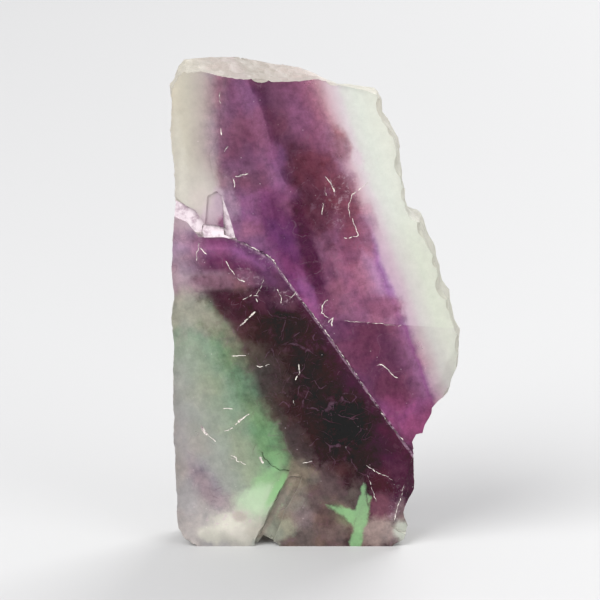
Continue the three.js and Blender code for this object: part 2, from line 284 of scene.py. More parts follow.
# Clouds of colour in the stone: colour, middle (x, z), half sizes, turn in degrees, softness of
# the edge as a share of the size, strength.
cloudLook = {
    "ragged": 1.6,  # how far a cloud's edge is broken up, as a share of its size
    "above": [
        ((34, 18, 23), (-0.6, 59.4), (2.6, 8.6), 18, 0.8, 0.9),
        ((30, 14, 23), (-1.4, 50.4), (1.6, 8.4), 17, 0.9, 0.95),
        ((42, 23, 29), (0.4, 63.0), (2.6, 4.6), 18, 0.8, 0.5),
        ((44, 23, 27), (4.2, 58.6), (2.1, 6.6), 18, 0.8, 0.85),
        ((54, 33, 37), (4.0, 67.2), (1.5, 3.0), 18, 0.9, 0.75),
        ((62, 45, 50), (5.6, 61.8), (1.0, 1.6), 18, 0.9, 0.6),
        ((88, 80, 84), (6.4, 65.2), (0.7, 1.3), 18, 0.9, 0.7),
        ((66, 49, 57), (8.6, 55.4), (1.2, 2.6), 18, 0.9, 0.6),
        ((72, 64, 66), (-15.7, 77.6), (1.4, 1.8), 0, 0.7, 0.8),
        ((57, 36, 51), (-6.6, 59.2), (3.0, 1.6), 0, 0.9, 0.7),
        ((52, 34, 49), (-6.2, 65.0), (1.2, 2.4), 18, 0.9, 0.7),
        ((55, 35, 46), (-2.8, 71.6), (1.8, 4.0), 18, 0.9, 0.6),
        ((50, 28, 37), (5.6, 50.4), (1.7, 3.2), 18, 0.8, 0.7),
        ((44, 27, 37), (-11.8, 66.6), (2.2, 3.0), 0, 0.8, 0.6),
        ((46, 30, 38), (-10.6, 61.2), (3.4, 1.8), 10, 0.8, 0.7),
        ((60, 50, 55), (-14.6, 60.4), (1.2, 2.4), 0, 0.8, 0.7),
        ((57, 38, 54), (-10.2, 56.8), (2.8, 3.0), 25, 0.8, 0.8),
        ((66, 54, 61), (-14.0, 57.0), (1.7, 2.6), 10, 0.8, 0.9),
        ((78, 70, 74), (-16.2, 57.4), (1.4, 3.2), 0, 0.6, 0.9),
        ((40, 21, 38), (-6.2, 54.2), (2.4, 5.6), 24, 0.8, 0.8),
        ((61, 42, 54), (-11.8, 53.0), (2.0, 1.2), -20, 0.8, 0.7),
        ((61, 37, 56), (-1.2, 42.4), (1.1, 4.4), 22, 0.8, 0.8),
        ((42, 24, 34), (2.2, 47.2), (0.9, 2.2), 18, 0.8, 0.6),
        ((56, 34, 42), (7.9, 52.2), (1.1, 3.6), 18, 0.8, 0.75),
        ((54, 34, 45), (10.4, 40.6), (3.4, 2.0), 0, 0.9, 0.85),
        ((56, 36, 49), (13.8, 38.2), (1.2, 1.4), 0, 0.9, 0.6),
        ((56, 30, 46), (12.4, 23.0), (2.2, 2.6), -30, 0.9, 0.7),
        ((59, 32, 49), (16.4, 21.2), (3.2, 3.6), -20, 0.8, 0.9),
    ],
    "bevel": [
        ((84, 77, 80), (-16.2, 55.8), (2.0, 3.4), 0, 0.7, 0.9),
        ((74, 66, 69), (-18.6, 53.6), (1.6, 2.4), 30, 0.8, 0.8),
        ((80, 72, 78), (-15.3, 57.6), (0.6, 1.8), 12, 0.8, 0.6),
        ((87, 86, 81), (-22.6, 62.0), (1.6, 9.0), 0, 0.9, 0.6),
        ((84, 80, 77), (-18.4, 58.4), (1.8, 2.0), 0, 0.9, 0.6),
    ],
    "below": [
        ((68, 67, 62), (-21.8, 39.4), (5.0, 3.6), 0, 0.8, 0.8),
        ((58, 58, 52), (-17.0, 37.4), (2.4, 2.4), 20, 0.9, 0.6),
        ((27, 13, 18), (-13.8, 40.6), (3.6, 2.2), -38, 0.7, 0.9),
        ((34, 20, 23), (-12.4, 36.8), (1.3, 2.2), 25, 0.8, 0.6),
        ((33, 19, 26), (-8.8, 41.0), (2.4, 1.6), -30, 0.9, 0.8),
        ((54, 38, 43), (-15.4, 44.6), (4.6, 1.1), -6, 0.8, 0.85),
        ((52, 36, 45), (-10.8, 45.2), (2.6, 1.1), -20, 0.9, 0.8),
        ((38, 25, 31), (-5.0, 41.4), (2.4, 1.6), -40, 1.0, 0.7),
        ((38, 23, 32), (-5.0, 44.0), (3.4, 1.1), -52, 0.9, 0.7),
        ((44, 27, 40), (-11.2, 50.0), (2.4, 0.7), -25, 0.9, 0.7),
        ((36, 35, 31), (-9.2, 31.4), (1.5, 2.8), 25, 0.9, 0.6),
        ((28, 25, 23), (-6.6, 29.6), (2.6, 4.6), 25, 0.9, 0.6),
        ((11, 5, 6), (5.0, 21.2), (4.2, 4.4), 30, 0.9, 0.8),
        ((32, 27, 26), (-2.8, 17.4), (1.8, 4.2), 28, 0.9, 0.7),
        ((45, 61, 44), (-7.4, 17.4), (2.2, 4.6), 24, 0.9, 0.85),
        ((54, 72, 51), (-6.0, 14.2), (1.4, 1.8), 20, 0.9, 0.8),
        ((50, 48, 43), (-14.0, 35.0), (1.5, 1.8), 25, 0.9, 0.6),
        ((47, 50, 42), (-12.2, 32.0), (1.4, 1.8), 25, 0.9, 0.6),
        ((34, 18, 24), (12.2, 11.0), (3.2, 3.0), 0, 0.8, 0.75),
        # the brown foot
        ((43, 36, 34), (-0.5, 4.6), (8.0, 8.6), 0, 0.7, 0.95),
        ((51, 49, 43), (-2.8, 11.6), (2.8, 2.6), 30, 1.0, 0.85),
        ((29, 18, 20), (4.0, 12.0), (2.6, 1.9), -20, 0.9, 0.7),
        ((58, 56, 50), (-4.8, 6.2), (2.4, 4.4), -25, 1.0, 0.7),
        ((40, 33, 32), (2.6, 8.6), (2.4, 3.4), 0, 0.9, 0.7),
        ((44, 47, 38), (4.4, 5.4), (2.2, 1.5), -28, 1.0, 0.7),
        ((60, 62, 54), (-5.8, 2.8), (3.2, 1.6), 15, 0.7, 0.8),
        ((44, 39, 38), (3.2, 2.2), (2.4, 1.6), 0, 0.8, 0.8),
        ((54, 47, 46), (-2.0, 4.8), (1.8, 1.8), 0, 0.9, 0.7),
        ((35, 29, 28), (2.2, 5.2), (1.6, 2.0), 0, 0.9, 0.7),
        # the pale and green foot
        ((57, 50, 55), (-17.4, 10.0), (1.9, 5.8), 36, 1.4, 0.65),
        # the next three greens are partly the stone's own and partly painted reflection, light
        # thrown back by the fracture beside the strip
        ((59, 76, 55), (-7.6, 10.4), (2.9, 3.0), -20, 0.9, 0.85),
        ((77, 86, 73), (-9.4, 7.4), (3.6, 2.6), 30, 1.0, 0.9),
        ((57, 79, 54), (-6.3, 9.8), (0.7, 3.4), -28, 0.9, 0.8),
        ((79, 78, 73), (-13.2, 3.2), (4.2, 3.0), 8, 1.0, 0.9),
        ((87, 86, 81), (-14.3, 4.0), (2.3, 1.6), 30, 1.0, 0.8),
        ((86, 84, 80), (-12.0, 2.2), (2.6, 1.1), 0, 1.0, 0.7),
        ((68, 62, 59), (-12.6, 5.2), (1.2, 0.8), -20, 0.9, 0.6),
        ((72, 70, 65), (-9.9, 2.2), (1.6, 1.4), 0, 0.9, 0.7),
        ((82, 81, 76), (-17.4, 1.8), (1.9, 1.3), -10, 0.9, 0.7),
        ((69, 66, 63), (-22.4, 14.0), (1.3, 4.0), 0, 0.9, 0.6),
        # the pinkish foot on the right
        ((25, 12, 16), (11.0, 10.2), (2.4, 1.3), -15, 0.9, 0.8),
        ((38, 20, 28), (13.8, 13.4), (1.6, 2.0), 0, 0.9, 0.4),
        ((45, 29, 35), (11.0, 6.8), (2.6, 2.2), 0, 0.9, 0.85),
        ((63, 57, 55), (10.8, 2.4), (3.8, 2.4), 0, 0.9, 0.9),
        ((56, 47, 48), (14.2, 6.0), (1.0, 2.2), 0, 0.8, 0.7),
        ((78, 80, 75), (14.6, 2.4), (1.4, 1.9), 0, 0.8, 0.9),
    ],
    # sharper patches low on the right, as corners (x, z) in clockwise order
    # the splinter is partly the stone's green and partly a painted reflection: light thrown back by
    # a fracture plane
    "splinterReflection": (55, 72, 52),
    "splinterReflectionPatches": [
        [(7.9, 13.8), (8.2, 11.4), (8.6, 9.0), (9.1, 6.8), (8.8, 4.4), (7.7, -0.5), (5.9, -0.5),
         (5.4, 3.6), (5.9, 6.6), (6.9, 9.2), (7.5, 11.4)],
        [(1.6, 7.2), (4.2, 7.0), (7.2, 6.0), (6.6, 3.4)],
        [(3.6, 6.0), (6.8, 5.4), (6.6, 2.6)],
        [(8.3, 9.4), (9.4, 8.3), (8.5, 6.6)],
    ],
    # painted light: the strip's colour is set lighter to make up for the shade in its groove
    "strip": (64, 60, 54),
    "stripPatches": [[(-4.6, 12.2), (-2.9, 12.2), (-5.4, 6.5), (-8.4, 1.0), (-9.5, 1.0)]],
    "patchRagged": 2.4,  # how far their borders are broken up, in millimetres
    "patchBorder": (-0.15, 0.5),
}

# Fine life in the colour.
grainLook = {
    "streakSize": 0.5,  # growth streaks, across and along
    "streakLength": 6.0,
    "streakReach": 0.22,
    "mottleSize": 1.5,
    "mottleReach": 1.1,
    "darkness": (0.55, 0.15),  # painted light: colours are lifted from here down, to make up for the shade near the floor
    # how much the painted light lifts the colours there
    "footLightHeight": 13.0,  # the stone is lighter from here down
    "footLightLift": 1.28,
    "paleShare": 0.2,  # share of the streaks and mottling left where the stone is pale
    "warmSize": 6.0,
    "warmSpread": (0.4, 0.6),
    "warm": (1.05, 0.96, 0.95, 1.0),
    "cool": (0.95, 0.99, 1.09, 1.0),
    "bendSize": 2.6,  # the marks below are bent
    "bend": 0.7,
    "veilSize": 2.2,
    "veilSpread": (0.53, 0.78),
    "veil": (46, 31, 38),
    "veilStrength": 0.45,
    "threadTurns": (-62, -20, 24, 71),  # degrees
    "threadWidth": 0.22,
    "threadLength": 3.4,
    "threadSpread": (0.66, 0.80),
    "threadStrength": 0.55,
    # a painted highlight along the step of the split, where the step catches the light
    "lipHighlight": (76, 63, 72),
    "lipHighlightWidth": 0.32,
    "lipHighlightSoft": 0.1,
    "lipHighlightShift": 0.1,  # how far its middle lies below the split
    "lipHighlightStart": (-13.8, -12.8),
    "lipHighlightSides": (0.0, -4.0),  # only the show side has one
    "lipHighlightGaps": 1.1,
    "lipHighlightSpread": (0.42, 0.60),
    "lipHighlightStrength": 0.75,
    # thin curved fibres of light in the dark parts
    "fibreSize": 6.0,
    "fibreWidth": 0.008,
    "fibreSpread": (0.46, 0.56),
    "fibre": (50, 38, 46),
    "fibreStrength": 0.55,
    # bruised spots full of tiny bright cracks: middle (x, z), half sizes, turn
    "dust": (80, 70, 75),
    "dustSpread": (0.52, 0.70),
    "dustStrength": 0.6,
    "dustPlaces": [
        ((5.0, 60.6), (3.0, 2.6), 0),
        ((3.0, 57.6), (1.6, 4.2), 10),
        ((6.0, 65.5), (1.6, 4.6), 18),
        ((-13.2, 62.0), (2.2, 0.9), 12),
        ((-19.0, 49.6), (1.0, 2.4), 10),
        ((-10.8, 45.0), (3.4, 1.6), -40),
        ((-5.0, 42.0), (2.8, 1.2), -10),
        ((1.4, 39.6), (1.0, 2.0), 0),
        ((-9.4, 48.8), (3.8, 0.8), -30),
        ((-14.0, 4.2), (5.6, 2.4), 0),
        ((13.6, 6.8), (1.2, 4.2), -10),
    ],
    "fleckSize": 0.7,
    "fleckSpread": (0.60, 0.80),
    "fleckPatchSize": 4.0,
    "fleckPatchSpread": (0.42, 0.62),
    "fleck": (74, 65, 71),
    "fleckStrength": 0.35,
    "speckSize": 1.0,
    "speckReach": 0.13,
    "speckRare": 0.72,  # share of the cells without one
    "speck": (92, 86, 88),
}


crystalLook = {
    "ior": 1.434,
    "specular": 0.06,
    "coat": 0.10,
    "coatRoughness": 0.06,
    "sheenLift": 0.019,  # how much lighter the sheen of the polish makes every colour
    "glow": 0.98,  # share of the stone's colour that comes back
    "deepest": 0.0005,
    "absorption": (0.86, 0.80, 0.84, 1.0),
    "absorptionDensity": 10.0,  # per metre
    "transmission": 0.5,
    "polishedRoughness": 0.30,
    "brokenRoughness": 0.50,
    "roughnessSize": 2.6,
    "roughnessReach": 0.06,
    "polishedBump": (3.0, 0.06),  # size and strength
    "brokenBump": (0.7, 0.8),
    "bumpDepth": 0.2,
    "flakeSize": 1.6,  # shell-shaped flakes on the rim
    "flakeStretch": (1.0, 0.8, 0.5),
    "flakeDepth": 1.6,
    "milk": (92, 90, 84),
    "milkShare": [0.42, 0.72],  # low on the rim, and on the top side
    "milkHeights": [66.0, 74.0],
    "fracture": [(62, 54, 58), (80, 75, 77)],
    "crack": [(60, 55, 56), (88, 86, 83)],
    "fractureGrain": 1.4,
    "fractureSpread": (0.34, 0.58),
    "fractureRoughness": 0.55,
}


def splitPlaces(point):
    # sideways and upward places, both measured on the show face
    x, y, z = partsOf(point)
    behind = compute("SUBTRACT", y, bandLook["frontY"])
    across = compute("MULTIPLY_ADD", behind, bandLook["leanAcross"], x)
    up = compute("MULTIPLY_ADD", behind, bandLook["leanUp"], z)
    return across, up


def rightOf(across, up, start, end):
    # how far a place lies to the right of the line from start to end, in millimetres
    dx, dz = end[0] - start[0], end[1] - start[1]
    length = math.hypot(dx, dz)
    offset = (-start[0] * dz + start[1] * dx) / length
    place = joined(across, up, 1.0)
    return vectorMath("DOT_PRODUCT", place, (dz / length, -dx / length, offset))


def turnOf(degrees):
    return math.cos(math.radians(degrees)), math.sin(math.radians(degrees))


def turnedPlaces(across, up, turns):
    # the same place along axes that are turned by each of the angles
    places = {}
    for turn in sorted(set(turns)):
        cosine, sine = turnOf(turn)
        along = compute("MULTIPLY_ADD", across, cosine, product(up, sine))
        aside = compute("MULTIPLY_ADD", across, -sine, product(up, cosine))
        places[turn] = joined(along, aside, 0.0)
    return places


def cloudMask(places, ragged, middle, sizes, turn, softness, strength=1.0):
    cosine, sine = turnOf(turn)
    x, z = middle
    # the distance from the middle, in half sizes
    scale = (1 / sizes[0], 1 / sizes[1], 0.0)
    offset = (-(x * cosine + z * sine) / sizes[0], (x * sine - z * cosine) / sizes[1], 0.0)
    far = vectorMath("LENGTH", vectorMath("MULTIPLY_ADD", places[turn], scale, offset))
    far = compute("MULTIPLY_ADD", ragged, cloudLook["ragged"], far)
    return softStep(far, 1.0 + softness / 2, 1.0 - softness / 2, strength)


def addClouds(colour, across, up, ragged, clouds):
    places = turnedPlaces(across, up, [cloud[3] for cloud in clouds])
    for shade, middle, sizes, turn, softness, strength in clouds:
        mask = cloudMask(places, ragged, middle, sizes, turn, softness, strength)
        colour = blendColour(colour, screen(*shade), mask)
    return colour


def patchMask(across, up, ragged, patches):
    mask = 0.0
    for corners in patches:
        sides = [rightOf(across, up, start, end)
                 for start, end in zip(corners, corners[1:] + corners[:1])]
        inside = lowest(*sides)
        inside = compute("MULTIPLY_ADD", ragged, cloudLook["patchRagged"], inside)
        mask = compute("MAXIMUM", mask, softStep(inside, *cloudLook["patchBorder"]))
    return mask


def wander(point, size, reach):
    cloud = noiseOf(point, size, detail=2.0, output="Color")
    centred = vectorMath("SUBTRACT", cloud, (0.5, 0.5, 0.5))
    return vectorMath("SCALE", centred, scale=2.0 * reach)


def underRidge(across, up):
    # how far a place lies below the split, in millimetres
    ridge = bandLook["ridge"]
    return lowest(*[rightOf(across, up, start, end) for start, end in zip(ridge, ridge[1:])])


def upperBands(longPlace, across, up, trueAcross, trueUp, ragged):
    # above the split
    high, middle, low = [bandRamp(longPlace, bandLook[name])
                         for name in ("high", "middle", "low")]
    colour = blendColour(middle, high, softStep(up, *bandLook["middleToHigh"]))
    crackUp = compute("MULTIPLY_ADD", trueAcross, bandLook["crackSlope"], trueUp)
    colour = blendColour(colour, low, softStep(crackUp, *bandLook["levelCrack"]))
    colour = addClouds(colour, across, up, ragged, cloudLook["above"])
    pale = blendColour(bandRamp(across, bandLook["pale"]), screen(*bandLook["paleLow"]),
                       softStep(trueUp, *bandLook["paleToLow"]))
    pale = addClouds(pale, across, up, ragged, cloudLook["bevel"])
    bevel = rightOf(across, up, *bandLook["bevelLine"])
    return blendColour(colour, pale, softStep(bevel, *bandLook["bevelReach"]))


def lowerBands(greenPlace, across, up, trueAcross, trueUp, ragged):
    # below the split
    place = compute("MAXIMUM", greenPlace, compute("SUBTRACT", up, bandLook["greenTop"]))
    place = compute("MULTIPLY_ADD", ragged, bandLook["greenRagged"], place)
    colour = bandRamp(place, bandLook["lower"])
    depth = underRidge(across, up)
    atEdge = product(softStep(across, *bandLook["stackEdgePlaces"]),
                     bandLook["stackEdgeShare"])
    stack = blendColour(bandRamp(depth, bandLook["stack"]),
                        screen(*bandLook["stackEdge"]), atEdge)
    end = compute("MULTIPLY_ADD", depth, bandLook["stackTaper"], across)
    inStack = product(softStep(end, *bandLook["stackEnd"]),
                      softStep(depth, *bandLook["stackDepth"]))
    colour = blendColour(colour, stack, inStack)
    colour = addClouds(colour, across, up, ragged, cloudLook["below"])
    for name in ("strip", "splinterReflection"):
        patch = patchMask(trueAcross, trueUp, ragged, cloudLook[name + "Patches"])
        # the splinter's colour is partly a painted reflection, and the strip's is set lighter
        # against the shade of its groove
        colour = blendColour(colour, screen(*cloudLook[name]), patch)
    return colour


def addMark(colour, name, mask):
    share = product(mask, grainLook[name + "Strength"])
    return blendColour(colour, screen(*grainLook[name]), share)


def threadMask(parts, turn):
    # straight hairlines that run at one angle across the show face
    cosine, sine = turnOf(turn)
    along = compute("MULTIPLY_ADD", parts["X"], cosine, product(parts["Z"], sine))
    aside = compute("MULTIPLY_ADD", parts["X"], -sine, product(parts["Z"], cosine))
    place = joined(compute("DIVIDE", along, grainLook["threadLength"]),
                   compute("DIVIDE", aside, grainLook["threadWidth"]),
                   compute("ADD", parts["Y"], turn))
    thread = softStep(noiseOf(place, 1.0, detail=2.0), *grainLook["threadSpread"])
    return product(thread, grainLook["threadStrength"])


def speckMask(point):
    cells = addNode("ShaderNodeTexVoronoi")
    feed(cells.inputs["Vector"], point)
    feed(cells.inputs["Scale"], 1.0 / grainLook["speckSize"])
    chance = addNode("ShaderNodeSeparateColor")
    feed(chance.inputs[0], cells.outputs["Color"])
    return product(softStep(cells.outputs["Distance"], grainLook["speckReach"], 0.0),
                   softStep(chance.outputs[0], grainLook["speckRare"], 1.0))


def addStreaks(colour, point, streakPlace, mottle, depth):
    # growth streaks along the bands, mottling, and warmer and cooler clouds
    streakPlace = vectorMath("SCALE", streakPlace, scale=1.0 / grainLook["streakSize"])
    alongPlace = vectorMath("SCALE", point, scale=1.0 / grainLook["streakLength"])
    streaks = noiseOf(vectorMath("ADD", streakPlace, alongPlace), 1.0,
                      detail=4.0, roughness=0.6)

    def tone(value, reach):
        weight = product(stretch(depth, grainLook["paleShare"], 1.0), 2.0 * reach)
        return compute("MULTIPLY_ADD", compute("SUBTRACT", value, 0.5), weight, 1.0)

    toned = vectorMath("SCALE", colour, scale=product(
        tone(streaks, grainLook["streakReach"]), tone(mottle, grainLook["mottleReach"])))
    warmth = noiseOf(point, grainLook["warmSize"], detail=3.0)
    tint = blendColour(grainLook["cool"], grainLook["warm"],
                       softStep(warmth, *grainLook["warmSpread"]))
    return blendColour(toned, vectorMath("MULTIPLY", toned, tint), depth)


def veilMask(marked):
    # veils and hairlines
    veil = noiseOf(marked, grainLook["veilSize"], detail=6.0, roughness=0.7)
    veil = product(softStep(veil, *grainLook["veilSpread"]), grainLook["veilStrength"])
    parts = partsOf(marked)
    for turn in grainLook["threadTurns"]:
        veil = compute("MAXIMUM", veil, threadMask(parts, turn))
    return veil


def fibreMask(marked):
    # curved fibres, where a soft cloud is neither light nor dark
    fibres = noiseOf(marked, grainLook["fibreSize"], detail=1.0)
    fibres = compute("ABSOLUTE", compute("SUBTRACT", fibres, 0.5))
    return softStep(fibres, grainLook["fibreWidth"], 0.0)


def bruisedMask(across, up, ragged):
    bruised = 0.0
    turned = turnedPlaces(across, up, [turn for middle, sizes, turn in grainLook["dustPlaces"]])
    for middle, sizes, turn in grainLook["dustPlaces"]:
        spot = cloudMask(turned, ragged, middle, sizes, turn, 1.0)
        bruised = compute("MAXIMUM", bruised, spot)
    return bruised


def lipHighlightMask(point, trueAcross, split):
    # painted highlight along the lip of the split, broken into dashes, on the show side alone
    lip = compute("ABSOLUTE", compute("SUBTRACT", split, grainLook["lipHighlightShift"]))
    gaps = noiseOf(point, grainLook["lipHighlightGaps"], detail=4.0, roughness=0.7)
    return product(
        softStep(lip, grainLook["lipHighlightWidth"], grainLook["lipHighlightSoft"]),
        softStep(trueAcross, *grainLook["lipHighlightStart"]),
        softStep(partsOf(point)["Y"], *grainLook["lipHighlightSides"]),
        softStep(gaps, *grainLook["lipHighlightSpread"]))


def makeBands():
    tree = current["tree"] = bpy.data.node_groups.new("fluoriteBands", "ShaderNodeTree")
    tree.interface.new_socket("Colour", in_out="OUTPUT", socket_type="NodeSocketColor")
    tree.interface.new_socket("Point", in_out="OUTPUT", socket_type="NodeSocketVector")
    out = addNode("NodeGroupOutput")
    place = addNode("ShaderNodeTexCoord")
    point = vectorMath("SCALE", place.outputs["Object"], scale=1.0 / mm)

    ruffle = wander(point, bandLook["ruffleSize"], bandLook["ruffle"])
    ruffled = vectorMath("ADD", point, ruffle)
    bent = vectorMath("ADD", ruffled,
                      wander(point, bandLook["wanderSize"], bandLook["wander"]))
    across, up = splitPlaces(bent)
    trueAcross, trueUp = splitPlaces(point)
    ragged = noiseOf(point, bandLook["raggedSize"], detail=5.0, roughness=0.68)
    ragged = compute("SUBTRACT", ragged, 0.5)

    # the split itself is a crisp line
    split = underRidge(trueAcross, trueUp)
    slant = rightOf(trueAcross, trueUp, *bandLook["slant"])
    over = compute("MINIMUM", product(split, -1.0), product(slant, -1.0))
    isAbove = softStep(over, -bandLook["splitReach"], bandLook["splitReach"])

    slope = bandLook["longSlope"]
    longPlace = compute("MULTIPLY_ADD", up, slope, across)
    longPlace = compute("SUBTRACT", longPlace, bandLook["longHeight"] * slope)
    longPlace = compute("MULTIPLY_ADD", ragged, bandLook["longRagged"], longPlace)
    slope, (x, z) = bandLook["greenSlope"], bandLook["greenStart"]
    greenPlace = compute("MULTIPLY_ADD", up, slope, across)
    greenPlace = compute("SUBTRACT", greenPlace, z * slope + x)
    places = (across, up, trueAcross, trueUp, ragged)
    colour = blendColour(lowerBands(greenPlace, *places),
                         upperBands(longPlace, *places), isAbove)

    # the grain and the veils are weaker where the stone is pale
    lightness = addNode("ShaderNodeRGBToBW")
    feed(lightness.inputs[0], colour)
    depth = softStep(lightness.outputs[0], *grainLook["darkness"])
    mottle = noiseOf(point, grainLook["mottleSize"], detail=8.0, roughness=0.72)
    streakPlace = blendColour(joined(greenPlace, 0.0, 0.0),
                              joined(longPlace, 0.0, 0.0), isAbove)
    toned = addStreaks(colour, point, streakPlace, mottle, depth)
    marked = vectorMath("ADD", point, wander(point, grainLook["bendSize"], grainLook["bend"]))
    toned = blendColour(toned, screen(*grainLook["veil"]), product(veilMask(marked), depth))

    # flecks, fibres in the dark parts, the bruised spots, a painted highlight along the lip, and
    # bright specks everywhere
    tiny = noiseOf(marked, grainLook["fleckSize"], detail=5.0, roughness=0.75)
    patchy = noiseOf(point, grainLook["fleckPatchSize"], detail=3.0)
    toned = addMark(toned, "fleck", product(
        softStep(tiny, *grainLook["fleckSpread"]),
        softStep(patchy, *grainLook["fleckPatchSpread"])))
    toned = addMark(toned, "fibre", product(
        fibreMask(marked), depth, softStep(mottle, *grainLook["fibreSpread"])))
    toned = addMark(toned, "dust", product(
        softStep(tiny, *grainLook["dustSpread"]), bruisedMask(across, up, ragged)))
    toned = addMark(toned, "lipHighlight", lipHighlightMask(point, trueAcross, split))
    toned = blendColour(toned, screen(*grainLook["speck"]), speckMask(point))

    # painted light: colours lifted towards the foot, against the shade near the floor
    footLightShare = softStep(trueUp, grainLook["footLightHeight"], 0.0)
    toned = vectorMath("SCALE", toned, scale=stretch(footLightShare, 1.0, grainLook["footLightLift"]))

    # the sheen of the polish lifts every colour a little, so the stone itself is coloured deeper
    deeper = vectorMath("SUBTRACT", toned, (crystalLook["sheenLift"],) * 3)
    deeper = vectorMath("MAXIMUM", deeper, (crystalLook["deepest"],) * 3)
    feed(out.inputs["Colour"], vectorMath("SCALE", deeper, scale=1.0 / crystalLook["glow"]))
    feed(out.inputs["Point"], point)
    return tree


def addAbsorption():
    absorb = addNode("ShaderNodeVolumeAbsorption")
    absorb.inputs["Color"].default_value = crystalLook["absorption"]
    absorb.inputs["Density"].default_value = crystalLook["absorptionDensity"]
    feed(current["tree"].nodes["Material Output"].inputs["Volume"], absorb.outputs["Volume"])


def newMaterial(name):
    material = bpy.data.materials.new(name)
    material.use_nodes = True
    current["tree"] = material.node_tree
    return material, material.node_tree.nodes["Principled BSDF"]


def makeCrystal(name, bands, roughness, isMilky, bumpSize, bumpStrength):
    material, shader = newMaterial(name)
    group = addNode("ShaderNodeGroup", node_tree=bands)
    colour, point = group.outputs["Colour"], group.outputs["Point"]
    if isMilky:
        height = softStep(partsOf(point)["Z"], *crystalLook["milkHeights"])
        share = stretch(height, *crystalLook["milkShare"])
        colour = blendColour(colour, screen(*crystalLook["milk"]), share)
    feed(shader.inputs["Base Color"], colour)
    cloud = noiseOf(point, crystalLook["roughnessSize"], detail=4.0, roughness=0.6)
    reach = crystalLook["roughnessReach"]
    feed(shader.inputs["Roughness"], stretch(cloud, roughness - reach, roughness + reach))
    shader.inputs["IOR"].default_value = crystalLook["ior"]
    shader.inputs["Specular IOR Level"].default_value = crystalLook["specular"]
    shader.inputs["Transmission Weight"].default_value = crystalLook["transmission"]
    if not isMilky:
        shader.inputs["Coat Weight"].default_value = crystalLook["coat"]
        shader.inputs["Coat Roughness"].default_value = crystalLook["coatRoughness"]
        shader.inputs["Coat IOR"].default_value = crystalLook["ior"]
    bump = addNode("ShaderNodeBump")
    bump.inputs["Strength"].default_value = bumpStrength
    bump.inputs["Distance"].default_value = crystalLook["bumpDepth"] * mm
    height = noiseOf(point, bumpSize, detail=5.0, roughness=0.6)
    if isMilky:
        flakes = addNode("ShaderNodeTexVoronoi")
        feed(flakes.inputs["Vector"],
             vectorMath("MULTIPLY", point, crystalLook["flakeStretch"]))
        flakes.inputs["Scale"].default_value = 1.0 / crystalLook["flakeSize"]
        height = compute("MULTIPLY_ADD", flakes.outputs["Distance"],
                         crystalLook["flakeDepth"], height)
    feed(bump.inputs["Height"], height)
    feed(shader.inputs["Normal"], bump.outputs["Normal"])
    addAbsorption()
    return material


def makeFracture(name, deep, bright):
    material, shader = newMaterial(name)
    place = addNode("ShaderNodeTexCoord")
    cloud = noiseOf(place.outputs["Object"], crystalLook["fractureGrain"] * mm,
                    detail=4.0, roughness=0.65)
    feed(shader.inputs["Base Color"], blendColour(
        screen(*deep), screen(*bright), softStep(cloud, *crystalLook["fractureSpread"])))
    shader.inputs["Roughness"].default_value = crystalLook["fractureRoughness"]
    shader.inputs["IOR"].default_value = crystalLook["ior"]
    addAbsorption()
    return material


bands = makeBands()
crystalMaterials = [
    makeCrystal("polishedFluorite", bands, crystalLook["polishedRoughness"], False,
                *crystalLook["polishedBump"]),
    makeCrystal("brokenFluorite", bands, crystalLook["brokenRoughness"], True,
                *crystalLook["brokenBump"]),
    makeFracture("whiteFracture", *crystalLook["fracture"]),
    makeFracture("crackedFluorite", *crystalLook["crack"]),
]
polished, broken, fractured, cracked = range(4)  # places in that list
print("materials made")


slabLook = {
    "node": "fluorite_slab",
    "flatArea": 3.0,  # a face larger than this many square millimetres is ground flat or split flat
    "flatTolerance": 0.01,
    "flatFacing": 0.85,  # how squarely it looks to the front or back
    "frontFacing": -0.2,  # a face that looks further back than this isn't part of the front
    "scoopSize": 2.6,  # width of the shell-shaped scoops on the rim
    "scoopDepth": 0.34,
    "scoopFall": 2.2,  # how soon a scoop ends
    "grainSize": 0.7,
    "grainDepth": 0.12,
    "reach": 0.4,  # share of its shortest edge that a point may move
    "footHeight": 0.15,  # nothing is chipped below this height
    "sharpAngle": 38,  # degrees past which an edge on the rim looks sharp
    # small split faces that show white, as (x, z, how near a face's middle has to be)
    "whiteFacets": [(-20.2, 55.4, 2.4), (-14.3, 54.6, 2.3), (-15.6, 52.8, 1.6)],
    "mainArea": 60.0,  # the main faces are larger than this, and never white
    # the low steps between those split faces are white too
    "whiteSteps": [(-16.2, 56.8, 3.4), (-20.6, 55.6, 2.5)],
    "stepFront": -4.2,  # they lie in front of this
}

